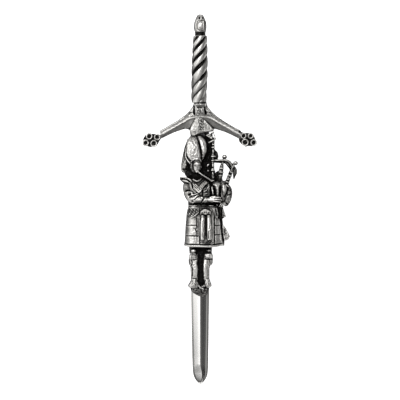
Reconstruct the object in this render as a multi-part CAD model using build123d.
from build123d import *

# A cast kilt pin: a claymore with a bagpiper standing in front of its blade, and a plain brooch
# fitting on its flat back. The sword and the piper are one casting.
# All lengths are millimetres. X runs across the guard, Y up the sword, and Z from the surface
# that the pin lies on towards the viewer. The origin is under the middle of the outline.

import math
import os
from typing import NamedTuple

# Brooch fitting
bar_length = 38.0
bar_width = 4.2
bar_thickness = 0.8
foot_width = 5.0
hinge_foot_length = 3.2
catch_foot_length = 2.6
stem_diameter = 1.2
stem_point_length = 2.2
stem_overhang = 1.6
cloth_gap = 3.0
foot_lip = 0.6
catch_clearance = 0.2
catch_wall = 1.5
solder_gap = 0.05
bar_below_guard = 5.6

# Claymore
pommel_height = 4.9
pommel_width = 3.45
pommel_rib_width = 0.75
grip_length = 19.0
grip_width = 4.1
grip_groove_depth = 0.55
twist_lead = 6.2
collar_height = 0.85
collar_width = 3.9
neck_height = 2.9
blade_length = 72.3
blade_width = 4.8
blade_width_at_point = 3.85
blade_thickness = 2.2
edge_thickness = 0.7
edge_bevel_width = 0.6
point_length = 4.3
guard_span = 31.3
guard_drop = 6.1
guard_root_width = 6.9
guard_thickness = 2.4
escutcheon_width = 6.4
escutcheon_height = 9.0
escutcheon_thickness = 2.7

# Ring clusters at the ends of the guard
ring_diameter = 2.1
ring_hole_diameter = 1.0
ring_height = 1.9
ring_hole_depth = 0.9
ring_pitch = 2.15
ring_row_pitch = 1.75
ring_row_shift = 0.8
ring_web_height = 1.1

# Piper, from the top of the bonnet down to the rock
bonnet_below_guard = 5.2
bonnet_height = 6.6
bonnet_width = 4.4
bonnet_depth = 4.4
bonnet_tail_width = 2.4
hackle_width = 1.7
head_height = 3.3
head_width = 2.4
head_lift = 3.7
torso_height = 9.2
shoulder_width = 8.2
chest_depth = 4.8
kilt_height = 10.6
kilt_hem_width = 10.9
kilt_depth = 5.5
hem_thickness = 0.5
leg_height = 11.2
calf_width = 2.4
knee_width = 1.5
sock_top_width = 2.7
stance_width = 4.2
shoe_length = 3.0
rock_height = 2.4
rock_width = 4.8
arm_width = 2.5
wrist_width = 1.6
hand_length = 2.8
finger_width = 0.5
sporran_height = 9.3
sporran_width = 4.2
sporran_depth = 1.6
tassel_width = 0.95
ground_thickness = 1.4

# Bagpipes
bag_height = 7.4
bag_width = 5.6
bag_depth = 5.2
bag_lift = 3.2
blowpipe_diameter = 0.5
bass_drone_length = 14.0
drone_diameter = 0.75
drone_ring_width = 1.2
drone_ring_height = 0.3
tenor_drone_length = 7.4
tenor_diameter = 0.65
drone_top_width = 1.25
cord_diameter = 1.1
tassel_length = 1.9
chanter_length = 4.6
chanter_diameter = 0.9

# Levels worked out from the sizes above
sword_length = pommel_height + grip_length + collar_height + neck_height + blade_length
pommel_top_y = sword_length / 2
grip_top_y = pommel_top_y - pommel_height
collar_top_y = grip_top_y - grip_length
neck_top_y = collar_top_y - collar_height
guard_y = neck_top_y - neck_height
point_y = guard_y - blade_length

stem_z = foot_lip + catch_clearance + stem_diameter / 2
bar_bottom_z = stem_z + stem_diameter / 2 + cloth_gap
back_z = bar_bottom_z + bar_thickness + solder_gap

bonnet_top_y = guard_y - bonnet_below_guard
head_top_y = bonnet_top_y - bonnet_height
torso_top_y = head_top_y - head_height
waist_y = torso_top_y - torso_height
hem_y = waist_y - kilt_height
sole_y = hem_y - leg_height
rock_bottom_y = sole_y - rock_height

torso_x = -0.02 * shoulder_width
kilt_x = torso_x + 0.17 * shoulder_width
head_x = torso_x - 0.07 * shoulder_width
chest_z = back_z + 0.5 * chest_depth


# Where an egg form's rounding stops for the flat at its end, in degrees from its middle
egg_end_angle = 78


class Slice(NamedTuple):
    """One oval section of an upright form, in shares of that form's own sizes."""

    down: float  # from the top, of the height
    across: float  # to the viewer's right, of the width
    width: float  # of the width
    lift: float  # of the section's middle above the form's middle, of the depth
    depth: float  # of the depth


class LegSlice(NamedTuple):
    """One oval section of a leg, in shares of the leg's sizes."""

    down: float  # from the hem, of the leg's height
    inward: float  # towards the other leg, of the calf's width
    width: float  # of the calf's width
    depth: float  # of the calf's width


class Lobe(NamedTuple):
    """One thickness of the feathers beside the bonnet."""

    across: float  # to the viewer's right of the head's middle, of the bonnet's width
    up: float  # from the bonnet's band, of the bonnet's height
    thickness: float  # of that plume's width


class Station(NamedTuple):
    """One point of a limb or pipe: its place in millimetres and its thickness there."""

    x: float
    y: float
    z: float
    thickness: float


class PointSlice(NamedTuple):
    """One section of the blade's point, in shares of the sizes where the point begins."""

    down: float  # from there to the tip, of the point's length
    width: float  # of the blade's width there
    ridge: float  # of the blade's thickness


class TenorDrone(NamedTuple):
    """Where a short drone stands on the bag and how it leans."""

    foot: float  # to the viewer's right of the bag's middle, of the bag's width
    lean: float  # sine of its lean to the viewer's right
    reach: float  # of the tenor drones' length


class GroundCorner(NamedTuple):
    """One corner of the flat metal behind the head and the pipes."""

    across: float  # to the viewer's right of the torso's middle, of the shoulders' width
    down: float  # from the top of the bonnet, of the height of bonnet and head


class ArmSlice(NamedTuple):
    """One section of a guard arm, in shares of the guard's sizes."""

    out: float  # from the blade's middle, of the reach to the ring cluster
    drop: float  # of the ridge, of the guard's drop
    above: float  # of the ridge, of the root's width
    below: float  # of the ridge, of the root's width
    height: float  # of the guard's thickness


def upright_form(slices, x, top_y, z, width, height, depth):
    """Loft of oval slices stacked down the figure."""
    ovals = []
    for s in slices:
        centre = (x + s.across * width, top_y - s.down * height, z + s.lift * depth)
        plane = Plane(origin=centre, x_dir=(1, 0, 0), z_dir=(0, -1, 0))
        ovals.append(plane * Ellipse(s.width * width / 2, s.depth * depth / 2))
    return loft(ovals)


def limb(stations):
    """Loft of circles square to the line through the stations."""
    points = [Vector(s.x, s.y, s.z) for s in stations]
    circles = []
    for i, station in enumerate(stations):
        before = points[max(i - 1, 0)]
        after = points[min(i + 1, len(points) - 1)]
        along = (after - before).normalized()
        side = along.cross(Vector(0, 0, 1)).normalized()
        plane = Plane(origin=points[i], x_dir=side, z_dir=along)
        circles.append(plane * Circle(station.thickness / 2))
    return loft(circles)


def rod(start, end, thickness, end_thickness=None):
    """Straight round rod or cone between two points."""
    run = Vector(*end) - Vector(*start)
    plane = Plane(origin=start, z_dir=run.normalized())
    end_thickness = thickness if end_thickness is None else end_thickness
    if abs(thickness - end_thickness) < 1e-6:
        return plane * Pos(0, 0, run.length / 2) * Cylinder(thickness / 2, run.length)
    return plane * Pos(0, 0, run.length / 2) * Cone(thickness / 2, end_thickness / 2, run.length)


def between(start, end, share):
    """The point at a share of the way from start to end."""
    return tuple(a + share * (b - a) for a, b in zip(start, end))


def egg(x, y, z, length, thickness, turn=0.0, lean=0.0):
    """Round egg form with a tiny flat at each end. Its length runs up the sword at first, then it
    is leaned towards the viewer and turned in the view, by some degrees."""
    arc = EllipticalCenterArc(
        (0, 0), thickness / 2, length / 2, start_angle=-egg_end_angle, arc_size=2 * egg_end_angle
    )
    low, high = arc @ 0, arc @ 1
    ends = Polyline(high, (0, high.Y), (0, low.Y), low)
    half = make_face(Wire([arc, *ends.edges()]))
    return Pos(x, y, z) * Rot(0, 0, turn) * Rot(lean, 0, 0) * revolve(half, axis=Axis.Y)


def plate(x, y, z, width, height, thickness, turn=0.0, tilt=0.0):
    """Thin block with its middle at a point, turned in the view and tilted about its own length."""
    return Pos(x, y, z) * Rot(0, 0, turn) * Rot(0, tilt, 0) * Box(width, height, thickness)


def mirrored(shape):
    """The same shape on the other side of the blade's middle plane."""
    return mirror(shape, about=Plane.YZ)


def solids_of(*shapes):
    """Every solid of the shapes, as one flat list."""
    return [solid for shape in shapes for solid in shape.solids()]


# Blade: flat back, a ridge down the middle of the front and a narrow bevel along each edge
def blade_section(y, width, ridge):
    half = width / 2
    inner = half - min(edge_bevel_width, 0.3 * half)
    edge = edge_thickness * ridge / blade_thickness
    shoulder = edge + 0.35 * (ridge - edge)
    corners = [(-half, 0), (half, 0), (half, edge), (inner, shoulder), (0, ridge)]
    corners += [(-inner, shoulder), (-half, edge)]
    return make_face(Polyline(*[(x, y, back_z + z) for x, z in corners], close=True))


point_slices = [
    PointSlice(down=0.0, width=1.0, ridge=1.0),
    PointSlice(down=0.38, width=0.925, ridge=0.96),
    PointSlice(down=0.75, width=0.57, ridge=0.80),
    PointSlice(down=0.88, width=0.35, ridge=0.60),
    PointSlice(down=1.0, width=0.08, ridge=0.35),
]


def make_blade():
    shoulder_y = point_y + point_length
    body = loft(
        [
            blade_section(guard_y, blade_width, blade_thickness),
            blade_section(rock_bottom_y, blade_width, blade_thickness),
            blade_section(shoulder_y, blade_width_at_point, blade_thickness),
        ],
        ruled=True,
    )
    point_sections = []
    for s in point_slices:
        y = shoulder_y - s.down * point_length
        section = blade_section(y, s.width * blade_width_at_point, s.ridge * blade_thickness)
        point_sections.append(section)
    tip = loft(point_sections, ruled=True)
    return solids_of(body, tip)


# Hilt: a two-strand twisted grip between a ribbed pommel and a collar
grip_taper = [
    Slice(down=-0.02, across=0.0, width=0.84, lift=0.0, depth=0.84),
    Slice(down=0.20, across=0.0, width=0.95, lift=0.0, depth=0.95),
    Slice(down=0.50, across=0.0, width=1.02, lift=0.0, depth=1.02),
    Slice(down=1.02, across=0.0, width=0.97, lift=0.0, depth=0.97),
]


def make_grip():
    grip_z = back_z + grip_width / 2
    valley = grip_width / 2 - grip_groove_depth
    # Two equal circles set apart so that they reach the grip's width and cross in the groove.
    offset = ((grip_width / 2) ** 2 - valley**2) / grip_width
    strand = grip_width / 2 - offset
    plane = Plane(origin=(0, collar_top_y, grip_z), x_dir=(1, 0, 0), z_dir=(0, 1, 0))
    profile = plane * (Pos(offset, 0) * Circle(strand) + Pos(-offset, 0) * Circle(strand))
    path = Line((0, collar_top_y, grip_z), (0, grip_top_y, grip_z))
    guide = Helix(
        pitch=twist_lead,
        height=grip_length,
        radius=grip_width,
        center=(0, collar_top_y, grip_z),
        direction=(0, 1, 0),
    )
    twist = Solid.sweep(profile.faces()[0], path, mode=Wire([guide]))
    taper = upright_form(grip_taper, 0, grip_top_y, grip_z, grip_width, grip_length, grip_width)
    return solids_of(twist & taper)


pommel_slices = [
    Slice(down=0.0, across=0.0, width=0.36, lift=0.0, depth=0.36),
    Slice(down=0.11, across=0.0, width=0.56, lift=0.0, depth=0.56),
    Slice(down=0.33, across=0.0, width=0.85, lift=0.0, depth=0.85),
    Slice(down=0.54, across=0.0, width=1.0, lift=0.0, depth=1.0),
    Slice(down=0.76, across=0.0, width=1.0, lift=0.0, depth=1.0),
    Slice(down=0.90, across=0.0, width=0.92, lift=0.0, depth=0.92),
    Slice(down=1.04, across=0.0, width=0.80, lift=0.0, depth=0.80),
]


def make_pommel():
    pommel_z = back_z + grip_width / 2
    body = upright_form(pommel_slices, 0, pommel_top_y, pommel_z, pommel_width, pommel_height, pommel_width)
    ribs = []
    for side in (-1, 1):
        rib_x = side * 0.34 * pommel_width
        rib_y = grip_top_y + 0.40 * pommel_height
        rib_z = pommel_z + 0.36 * pommel_width
        ribs.append(egg(rib_x, rib_y, rib_z, 0.62 * pommel_height, pommel_rib_width))
    return solids_of(body, *ribs)


def make_collar():
    collar_z = back_z + grip_width / 2
    ring = rod((0, collar_top_y, collar_z), (0, neck_top_y, collar_z), collar_width)
    neck = rod((0, neck_top_y, collar_z), (0, guard_y, collar_z), 0.84 * collar_width)
    return solids_of(ring, neck)


# Guard: two drooping arms of ridged section, a shield over the blade and four rings at each end
guard_arm = [
    ArmSlice(out=0.00, drop=0.00, above=0.44, below=0.55, height=1.00),
    ArmSlice(out=0.17, drop=0.06, above=0.44, below=0.51, height=0.98),
    ArmSlice(out=0.31, drop=0.21, above=0.27, below=0.28, height=0.90),
    ArmSlice(out=0.47, drop=0.39, above=0.21, below=0.20, height=0.84),
    ArmSlice(out=0.64, drop=0.58, above=0.19, below=0.18, height=0.78),
    ArmSlice(out=0.92, drop=0.88, above=0.15, below=0.19, height=0.70),
]
cluster_half_width = (ring_pitch + ring_row_shift / 2 + ring_diameter) / 2
cluster_x = guard_span / 2 - cluster_half_width
cluster_y = guard_y - guard_drop


def arm_section(s):
    x = s.out * cluster_x
    ridge_y = guard_y - s.drop * guard_drop
    top_y = ridge_y + s.above * guard_root_width
    bottom_y = ridge_y - s.below * guard_root_width
    ridge = s.height * guard_thickness
    edge = 0.35 * ridge
    bevel_y = top_y - 0.28 * (top_y - ridge_y)
    corners = [(top_y, 0), (top_y, edge), (bevel_y, 0.72 * ridge), (ridge_y, ridge)]
    corners += [(bottom_y, edge), (bottom_y, 0)]
    return make_face(Polyline(*[(x, y, back_z + z) for y, z in corners], close=True))


def make_guard():
    arm = loft([arm_section(s) for s in guard_arm], ruled=True)
    return solids_of(arm, mirrored(arm))


def shield_section(y, width, ridge):
    half = width / 2
    edge = 0.4 * ridge
    corners = [(-half, 0), (half, 0), (half, edge), (0.3 * half, 0.9 * ridge), (0, ridge)]
    corners += [(-0.3 * half, 0.9 * ridge), (-half, edge)]
    return make_face(Polyline(*[(x, y, back_z + z) for x, z in corners], close=True))


def make_escutcheon():
    top_y = guard_y + 0.33 * escutcheon_height
    slices = [(0.0, 0.58, 0.70), (0.33, 0.80, 0.97), (0.74, 1.0, 1.0), (1.0, 0.6, 0.85)]
    faces = []
    for down, width, ridge in slices:
        y = top_y - down * escutcheon_height
        faces.append(shield_section(y, width * escutcheon_width, ridge * escutcheon_thickness))
    return solids_of(loft(faces, ruled=True))


def make_ring_cluster():
    rings = []
    holes = []
    for row in (-1, 1):
        for column in (-1, 1):
            x = cluster_x + column * ring_pitch / 2 - row * ring_row_shift / 4
            y = cluster_y + row * ring_row_pitch / 2
            rings.append(Pos(x, y, back_z + ring_height / 2) * Cylinder(ring_diameter / 2, ring_height))
            hole_z = back_z + ring_height - ring_hole_depth / 2
            holes.append(Pos(x, y, hole_z) * Cylinder(ring_hole_diameter / 2, ring_hole_depth))
    web = Pos(cluster_x, cluster_y, back_z + ring_web_height / 2) * Cylinder(
        0.62 * ring_pitch, ring_web_height
    )
    return solids_of(web, *rings), holes


# Head and feather bonnet
hackle_lobes = [
    Lobe(across=0.45, up=0.00, thickness=0.45),
    Lobe(across=0.49, up=0.30, thickness=0.90),
    Lobe(across=0.45, up=0.62, thickness=1.00),
    Lobe(across=0.17, up=0.92, thickness=0.60),
]
tail_lobes = [
    Lobe(across=-0.50, up=0.70, thickness=0.60),
    Lobe(across=-0.68, up=0.26, thickness=0.85),
    Lobe(across=-0.74, up=-0.23, thickness=1.00),
    Lobe(across=-0.68, up=-0.54, thickness=0.50),
]


def plume(lobes, z, width):
    """Feathers beside the bonnet, thick in their middle."""
    stations = []
    for lobe in lobes:
        x = head_x + lobe.across * bonnet_width
        y = head_top_y + lobe.up * bonnet_height
        stations.append(Station(x, y, z, lobe.thickness * width))
    return limb(stations)


def make_bonnet():
    dome_x = head_x - 0.16 * bonnet_width
    dome_y = bonnet_top_y - 0.5 * bonnet_height
    dome_z = back_z + 0.7 * bonnet_depth
    dome = egg(dome_x, dome_y, dome_z, 1.05 * bonnet_height, bonnet_width)
    band_top = (head_x, head_top_y + 0.06 * bonnet_height, back_z + head_lift)
    band_bottom = (head_x, head_top_y - 0.08 * bonnet_height, back_z + head_lift)
    band = rod(band_top, band_bottom, 1.16 * head_width, 1.2 * head_width)
    hackle = plume(hackle_lobes, dome_z + 0.18 * bonnet_depth, hackle_width)
    tail = plume(tail_lobes, back_z + 0.5 * bonnet_depth, bonnet_tail_width)
    return solids_of(dome, band, hackle, tail)


def make_head():
    skull_y = head_top_y - 0.46 * head_height
    head_z = back_z + head_lift
    skull = egg(head_x, skull_y, head_z, 1.12 * head_height, head_width)
    nose = egg(head_x, skull_y, head_z + 0.5 * head_width, 0.3 * head_height, 0.2 * head_width)
    neck_foot = (torso_x, torso_top_y - 0.12 * torso_height, chest_z)
    neck = rod((head_x, skull_y, head_z - 0.25 * head_width), neck_foot, 0.75 * head_width)
    return solids_of(skull, nose, neck)


# Doublet, shoulder wing, lapels and sleeves
torso_slices = [
    Slice(down=-0.04, across=0.0, width=0.36, lift=0.02, depth=0.50),
    Slice(down=0.08, across=0.0, width=0.80, lift=0.02, depth=0.80),
    Slice(down=0.35, across=0.0, width=0.94, lift=0.05, depth=1.00),
    Slice(down=0.75, across=0.02, width=0.86, lift=0.04, depth=0.96),
    Slice(down=1.04, across=0.09, width=0.84, lift=0.02, depth=0.90),
]


def make_torso():
    size = (shoulder_width, torso_height, chest_depth)
    body = upright_form(torso_slices, torso_x, torso_top_y, chest_z, *size)
    front_z = back_z + 1.02 * chest_depth
    lapel_tip_y = torso_top_y - 0.55 * torso_height
    lapels = [
        plate(
            torso_x + side * 0.16 * shoulder_width,
            lapel_tip_y + 0.17 * torso_height,
            front_z,
            0.17 * shoulder_width,
            0.5 * torso_height,
            0.14 * chest_depth,
            turn=side * -42,
        )
        for side in (-1, 1)
    ]
    collar = egg(
        torso_x - 0.02 * shoulder_width,
        torso_top_y,
        front_z - 0.14 * chest_depth,
        0.38 * shoulder_width,
        0.15 * torso_height,
        turn=90,
    )
    wing = egg(
        torso_x - 0.42 * shoulder_width,
        torso_top_y - 0.16 * torso_height,
        chest_z,
        0.5 * shoulder_width,
        0.24 * torso_height,
        turn=78,
    )
    belt = upright_form(
        [
            Slice(down=0.0, across=0.12, width=0.88, lift=0.03, depth=0.98),
            Slice(down=1.0, across=0.13, width=0.92, lift=0.03, depth=1.02),
        ],
        torso_x,
        waist_y + 0.07 * torso_height,
        chest_z,
        shoulder_width,
        0.1 * torso_height,
        chest_depth,
    )
    return solids_of(body, collar, wing, belt, *lapels)


# The near arm crosses the waist to the pipes
def body_point(across, up, lift):
    """A point of the upper body, in shares of the shoulders' width, torso's height and chest's depth."""
    x = torso_x + across * shoulder_width
    return (x, waist_y + up * torso_height, back_z + lift * chest_depth)


near_shoulder = body_point(across=-0.38, up=0.78, lift=0.50)
near_elbow = body_point(across=-0.31, up=0.28, lift=0.72)
near_wrist = body_point(across=0.22, up=0.20, lift=1.18)
far_shoulder = body_point(across=0.45, up=0.80, lift=0.35)
far_elbow = body_point(across=0.93, up=0.37, lift=0.55)
far_wrist = body_point(across=0.68, up=0.05, lift=1.02)


def make_arms():
    pieces = [
        limb(
            [
                Station(*near_shoulder, 1.02 * arm_width),
                Station(*between(near_shoulder, near_elbow, 0.5), 1.08 * arm_width),
                Station(*near_elbow, 0.92 * arm_width),
            ]
        ),
        egg(*near_elbow, arm_width, arm_width),
        limb(
            [
                Station(*near_elbow, 0.95 * arm_width),
                Station(*between(near_elbow, near_wrist, 0.45), arm_width),
                Station(*near_wrist, 0.78 * arm_width),
            ]
        ),
        egg(*far_elbow, 0.86 * arm_width, 0.86 * arm_width),
        rod(far_elbow, far_wrist, 0.8 * arm_width, 0.62 * arm_width),
        rod(far_shoulder, far_elbow, arm_width, 0.8 * arm_width),
    ]
    return solids_of(*pieces)


def make_hands():
    palm_x = near_wrist[0] + 0.5 * hand_length
    palm = egg(palm_x, near_wrist[1], near_wrist[2], 1.05 * hand_length, wrist_width, turn=90)
    fingers = []
    for row in range(3):
        knuckle_y = near_wrist[1] + (0.32 - 0.34 * row) * wrist_width
        start = (palm_x + 0.2 * hand_length, knuckle_y, near_wrist[2] + 0.1 * wrist_width)
        reach = (0.78 - 0.06 * row) * hand_length
        end = (start[0] + reach, knuckle_y - 0.42 * wrist_width, start[2] - 0.35 * wrist_width)
        fingers.append(rod(start, end, finger_width))
    far_palm = egg(*far_wrist, 0.75 * hand_length, wrist_width, turn=-50)
    far_fingers = []
    for row in range(3):
        knuckle_y = far_wrist[1] + (0.3 - 0.3 * row) * wrist_width
        start = (far_wrist[0] + 0.1 * hand_length, knuckle_y, far_wrist[2] + 0.25 * wrist_width)
        end = (start[0] - 0.5 * hand_length, knuckle_y - 0.45 * wrist_width, start[2] + 0.1 * wrist_width)
        far_fingers.append(rod(start, end, finger_width))
    return solids_of(palm, far_palm, *fingers, *far_fingers)


# Kilt with its apron edge, hem, doublet flaps and sporran
kilt_slices = [
    Slice(down=-0.02, across=-0.03, width=0.79, lift=0.03, depth=0.90),
    Slice(down=0.30, across=-0.02, width=0.87, lift=0.01, depth=0.92),
    Slice(down=0.60, across=-0.01, width=0.95, lift=0.0, depth=0.98),
    Slice(down=1.0, across=-0.01, width=0.985, lift=0.0, depth=1.06),
]


def make_kilt():
    kilt_z = back_z + 0.45 * kilt_depth
    skirt = upright_form(kilt_slices, kilt_x, waist_y, kilt_z, kilt_hem_width, kilt_height, kilt_depth)
    hem = upright_form(
        [
            Slice(down=0.0, across=0.0, width=1.0, lift=0.0, depth=1.08),
            Slice(down=1.0, across=0.0, width=1.0, lift=0.0, depth=1.08),
        ],
        kilt_x,
        hem_y + hem_thickness,
        kilt_z,
        kilt_hem_width,
        hem_thickness,
        kilt_depth,
    )
    flap_top_y = waist_y - 0.02 * kilt_height
    flap_height = 0.36 * kilt_height
    flap_z = back_z + 0.78 * kilt_depth
    flaps = [
        plate(
            kilt_x + across * kilt_hem_width,
            flap_top_y - flap_height / 2,
            flap_z + lift * kilt_depth,
            0.22 * kilt_hem_width,
            flap_height,
            0.2 * kilt_depth,
            tilt=tilt,
        )
        for across, lift, tilt in ((-0.32, 0.0, -26), (0.15, 0.1, 10))
    ]
    plaid_end = plate(
        kilt_x + 0.49 * kilt_hem_width,
        waist_y - 0.71 * kilt_height,
        back_z + 0.22 * kilt_depth,
        0.22 * kilt_hem_width,
        0.3 * kilt_height,
        0.4 * kilt_depth,
        turn=32,
    )
    coat_tail = plate(
        kilt_x + 0.44 * kilt_hem_width,
        waist_y - 0.16 * kilt_height,
        back_z + 0.22 * kilt_depth,
        0.14 * kilt_hem_width,
        0.24 * kilt_height,
        0.4 * kilt_depth,
        turn=12,
    )
    return solids_of(skirt, hem, plaid_end, coat_tail, *flaps)


def make_sporran():
    sporran_x = kilt_x + 0.03 * kilt_hem_width
    top_y = waist_y - 0.06 * kilt_height
    face_z = back_z + 1.0 * kilt_depth
    body = upright_form(
        [
            Slice(down=0.06, across=0.0, width=0.72, lift=0.0, depth=0.9),
            Slice(down=0.35, across=0.0, width=0.86, lift=0.1, depth=1.0),
            Slice(down=0.75, across=0.0, width=0.98, lift=0.15, depth=1.0),
            Slice(down=1.0, across=0.0, width=0.9, lift=0.05, depth=0.8),
        ],
        sporran_x,
        top_y,
        face_z,
        sporran_width,
        sporran_height,
        sporran_depth,
    )
    cantle = egg(
        sporran_x,
        top_y - 0.1 * sporran_height,
        face_z + 0.1 * sporran_depth,
        0.85 * sporran_width,
        0.21 * sporran_height,
        turn=90,
    )
    tassels = []
    for side in (-1, 1):
        top_x = sporran_x + side * 0.24 * sporran_width
        bottom_x = sporran_x + side * 0.29 * sporran_width
        top = (top_x, top_y - 0.16 * sporran_height, face_z + 0.45 * sporran_depth)
        bottom = (bottom_x, top_y - 0.9 * sporran_height, face_z + 0.6 * sporran_depth)
        tassels.append(rod(top, bottom, 0.7 * tassel_width, tassel_width))
    return solids_of(body, cantle, *tassels)


# Legs in turned-down socks, shoes and the rock that they stand on
sock_slices = [
    Slice(down=0.0, across=0.0, width=0.88, lift=0.0, depth=0.95),
    Slice(down=0.5, across=0.0, width=0.96, lift=0.0, depth=1.05),
    Slice(down=1.0, across=0.0, width=0.88, lift=0.0, depth=0.95),
]
leg_slices = [
    LegSlice(down=-0.10, inward=0.0, width=1.04, depth=0.80),
    LegSlice(down=0.12, inward=0.0, width=0.92, depth=0.80),
    LegSlice(down=0.30, inward=0.02, width=0.98, depth=1.0),
    LegSlice(down=0.52, inward=0.10, width=0.80, depth=0.95),
    LegSlice(down=0.80, inward=0.14, width=0.76, depth=0.80),
    LegSlice(down=0.94, inward=0.12, width=0.84, depth=0.84),
]


def make_leg(side):
    leg_x = torso_x + side * stance_width / 2 + 0.06 * stance_width
    foot_x = leg_x - side * 0.12 * calf_width
    leg_z = back_z + 0.45 * kilt_depth
    shin = upright_form(
        [
            Slice(down=s.down, across=-side * s.inward, width=s.width, lift=0.0, depth=s.depth)
            for s in leg_slices
        ],
        leg_x,
        hem_y,
        leg_z,
        calf_width,
        leg_height,
        calf_width,
    )
    knee = egg(leg_x, hem_y - 0.1 * leg_height, leg_z + 0.3 * calf_width, 1.15 * knee_width, knee_width)
    sock_size = (sock_top_width, 0.15 * leg_height, sock_top_width)
    sock_top = upright_form(sock_slices, leg_x, hem_y - 0.19 * leg_height, leg_z, *sock_size)
    flash = plate(
        leg_x + side * 0.36 * calf_width,
        hem_y - 0.40 * leg_height,
        leg_z,
        0.3 * calf_width,
        0.16 * leg_height,
        0.5 * calf_width,
        turn=side * 8,
    )
    heel = (foot_x, sole_y + 0.15 * leg_height, leg_z - 0.2 * shoe_length)
    toe = (foot_x + side * 0.12 * shoe_length, sole_y + 0.06 * leg_height, leg_z + 0.65 * shoe_length)
    shoe = rod(heel, toe, 0.95 * calf_width, 0.8 * calf_width)
    return solids_of(shin, knee, sock_top, flash, shoe)


def make_rock():
    rock_z = back_z + 0.35 * shoe_length
    slab = upright_form(
        [
            Slice(down=-0.35, across=0.0, width=1.00, lift=0.0, depth=0.9),
            Slice(down=0.10, across=0.0, width=0.98, lift=0.06, depth=1.1),
            Slice(down=0.60, across=0.08, width=0.70, lift=0.0, depth=0.9),
            Slice(down=1.0, across=0.16, width=0.30, lift=-0.1, depth=0.6),
        ],
        torso_x,
        sole_y,
        rock_z,
        rock_width,
        rock_height,
        shoe_length,
    )
    return solids_of(slab)


# Bagpipes: a creased bag, a blowpipe, three drones tied with a cord, and the chanter
bag_x = torso_x + 0.74 * shoulder_width
bag_top_y = torso_top_y - 0.27 * torso_height
bag_z = back_z + bag_lift
mouth = (head_x, head_top_y - 0.82 * head_height, back_z + head_lift + 0.42 * head_width)
bass_x = torso_x + 0.44 * shoulder_width
bass_foot = (bass_x, bag_top_y - 0.1 * bag_height, bag_z)
bass_top = (bass_x - 0.03 * bass_drone_length, bass_foot[1] + bass_drone_length, bag_z)
tenor_drones = [
    TenorDrone(foot=-0.27, lean=0.31, reach=1.0),
    TenorDrone(foot=0.23, lean=0.44, reach=0.8),
]


def make_bag():
    lobes = []
    for across, down, length, thickness, turn in ((-0.16, 0.46, 0.96, 0.70, 4), (0.16, 0.50, 0.94, 0.72, 14)):
        x = bag_x + across * bag_width
        y = bag_top_y - down * bag_height
        lobes.append(egg(x, y, bag_z, length * bag_height, thickness * bag_depth, turn=turn))
    return solids_of(*lobes)


def drone(foot, top, thickness, ring_shares):
    pieces = [rod(foot, top, thickness)]
    length = (Vector(*top) - Vector(*foot)).length
    for share in ring_shares:
        start = between(foot, top, share)
        end = between(foot, top, share + drone_ring_height / length)
        pieces.append(rod(start, end, drone_ring_width))
    return pieces


def tenor_point(tenor, share):
    """The point at a share of the way up a short drone."""
    length = tenor.reach * tenor_drone_length
    x = bag_x + tenor.foot * bag_width + share * length * tenor.lean
    y = bag_top_y - 0.06 * bag_height + share * length * math.sqrt(1 - tenor.lean**2)
    return (x, y, bag_z)


def make_drones():
    pieces = drone(bass_foot, bass_top, drone_diameter, (0.12, 0.28, 0.44, 0.54, 0.62, 0.71))
    bell_start = between(bass_foot, bass_top, 0.85)
    pieces.append(rod(bell_start, bass_top, 0.9 * drone_top_width, 2.0 * drone_top_width))
    for tenor in tenor_drones:
        top = tenor_point(tenor, 1.0)
        pieces += drone(tenor_point(tenor, 0.0), top, tenor_diameter, (0.35, 0.5))
        pieces.append(egg(*top, drone_top_width, drone_top_width))
    blowpipe_end = (bass_x + 0.05 * bag_width, bag_top_y - 0.02 * bag_height, bag_z + 0.3 * bag_depth)
    pieces.append(rod(mouth, blowpipe_end, blowpipe_diameter))
    return solids_of(*pieces)


def make_cord():
    first, second = tenor_drones
    far_tie = tenor_point(second, 0.6)
    tassel_top = (far_tie[0] + 1.2 * cord_diameter, far_tie[1], far_tie[2])
    tassel_foot = (tassel_top[0] - 0.2 * tassel_length, tassel_top[1] - tassel_length, tassel_top[2])
    knots = [between(bass_foot, bass_top, 0.43), tenor_point(first, 0.84), tenor_point(second, 0.9), far_tie]
    knots.append(tassel_top)
    pieces = [rod(start, end, cord_diameter) for start, end in zip(knots, knots[1:])]
    pieces += [egg(*knot, 1.15 * cord_diameter, 1.15 * cord_diameter) for knot in knots[1:]]
    pieces.append(rod(tassel_top, tassel_foot, cord_diameter, 1.4 * cord_diameter))
    return solids_of(*pieces)


# Flat metal that closes the gaps between the head, the plume and the longest drone
ground_corners = [
    GroundCorner(across=0.00, down=0.01),
    GroundCorner(across=0.49, down=0.01),
    GroundCorner(across=0.49, down=0.37),
    GroundCorner(across=0.58, down=0.46),
    GroundCorner(across=0.61, down=0.66),
    GroundCorner(across=0.48, down=0.87),
    GroundCorner(across=0.53, down=1.30),
    GroundCorner(across=0.00, down=1.30),
]


def make_ground():
    corners = [
        (torso_x + c.across * shoulder_width, bonnet_top_y - c.down * (bonnet_height + head_height))
        for c in ground_corners
    ]
    face = make_face(Polyline(*corners, close=True))
    ground = extrude(face, amount=1.5 * ground_thickness)
    return solids_of(Pos(0, 0, back_z - 0.5 * ground_thickness) * ground)


def make_chanter():
    top = (far_wrist[0] - 0.1 * hand_length, far_wrist[1], back_z + 0.75 * chest_depth)
    bottom = (top[0] - 0.08 * chanter_length, top[1] - chanter_length, back_z + 0.8 * kilt_depth)
    return solids_of(rod(top, bottom, 0.8 * chanter_diameter, chanter_diameter))


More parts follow.
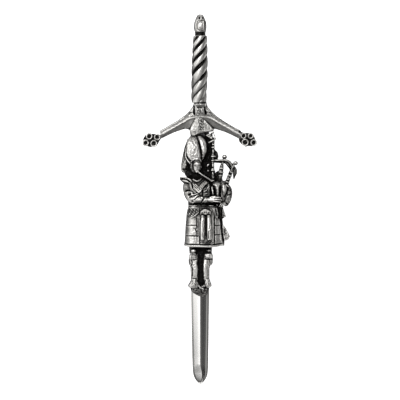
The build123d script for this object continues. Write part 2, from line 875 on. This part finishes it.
# Brooch fitting: one plain piece with a hinge foot, a stem and a catch foot
def make_pin_back():
    bar_top_y = guard_y - bar_below_guard
    bar_bottom_y = bar_top_y - bar_length
    bar_middle = (0, (bar_top_y + bar_bottom_y) / 2, bar_bottom_z + bar_thickness / 2)
    bar = Pos(*bar_middle) * Box(bar_width, bar_length, bar_thickness)
    hinge_y = bar_top_y - hinge_foot_length / 2
    hinge = Pos(0, hinge_y, bar_bottom_z / 2) * Box(foot_width, hinge_foot_length, bar_bottom_z)
    catch_y = bar_bottom_y + catch_foot_length / 2
    catch = Pos(0, catch_y, bar_bottom_z / 2) * Box(foot_width, catch_foot_length, bar_bottom_z)
    slot_height = stem_diameter + 2 * catch_clearance
    slot = Box(foot_width, 2 * catch_foot_length, slot_height)
    catch -= Pos(catch_wall, catch_y, stem_z) * slot
    stem_end_y = bar_bottom_y - stem_overhang
    stem = rod((0, hinge_y, stem_z), (0, stem_end_y, stem_z), stem_diameter)
    tip_y = stem_end_y - stem_point_length
    point = rod((0, stem_end_y, stem_z), (0, tip_y, stem_z), stem_diameter, 0.2 * stem_diameter)
    return bar + hinge + catch + stem + point


def join(pieces):
    """One solid of all the pieces, which overlap their neighbours."""
    return pieces[0].fuse(*pieces[1:])


def make_sword():
    rings, holes = make_ring_cluster()
    rings += [mirrored(ring) for ring in rings]
    holes += [mirrored(hole) for hole in holes]
    hilt = make_grip() + make_pommel() + make_collar()
    return join(make_blade() + hilt + make_guard() + make_escutcheon() + rings).cut(*holes)


def make_piper():
    clothes = make_torso() + make_kilt() + make_sporran() + make_leg(-1) + make_leg(1)
    limbs = make_head() + make_bonnet() + make_arms() + make_hands()
    pipes = make_bag() + make_drones() + make_cord() + make_chanter() + make_ground()
    return join(clothes + limbs + pipes + make_rock())


def make_casting():
    """The sword and the piper as one casting with a flat back."""
    whole = make_sword().fuse(*make_piper().solids())
    return split(whole, bisect_by=Plane.XY.offset(back_z), keep=Keep.TOP)


os.makedirs("parts", exist_ok=True)
export_step(make_casting(), "parts/casting.step")
export_step(make_pin_back(), "parts/pin_back.step")
